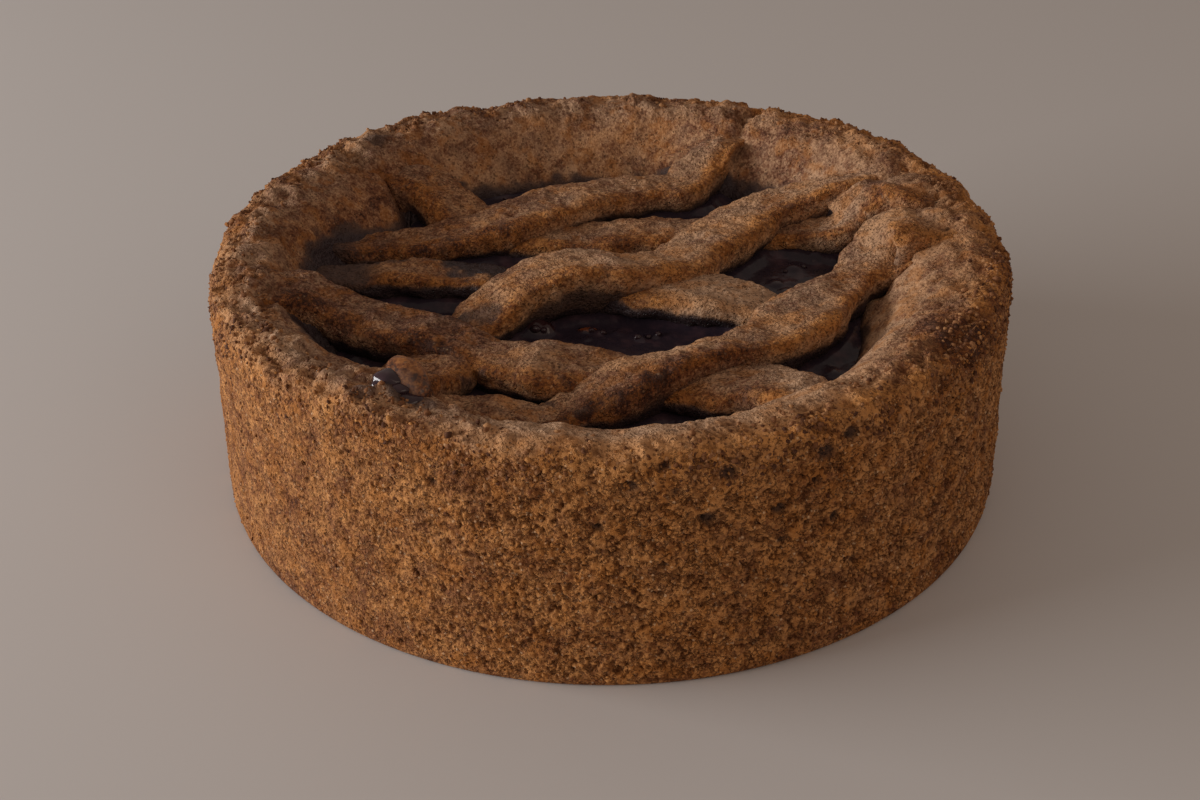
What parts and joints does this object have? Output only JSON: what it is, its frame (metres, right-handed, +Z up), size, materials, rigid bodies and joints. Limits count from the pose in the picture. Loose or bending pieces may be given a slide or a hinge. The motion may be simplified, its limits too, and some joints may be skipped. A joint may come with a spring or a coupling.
{
  "type": "linzer torte",
  "caption": "Deep round nut-pastry torte with a broad crumbly rim, dark jam in its recess and an uneven woven lattice of dough strips.",
  "frame": {"origin": "centre of the torte's flat base", "axes": "+Z up through the torte, -Y towards the front seen in the picture"},
  "size_m": [0.2038, 0.2021, 0.0666],
  "materials": {
    "crust": "dry crumbly baked nut pastry, golden brown with darker toasted patches",
    "strip": "dry baked dough with toasted edges, grey-brown on top",
    "jam": "dark glossy baked berry jam"
  },
  "bodies": {
    "root": {"crust": "crust", "jam": "jam", "jam_drop": "jam", "strip_back": "strip", "strip_middle": "strip", "strip_front": "strip", "cross_back": "strip", "cross_middle": "strip", "cross_front": "strip", "cross_edge": "strip"}
  },
  "joints": []
}
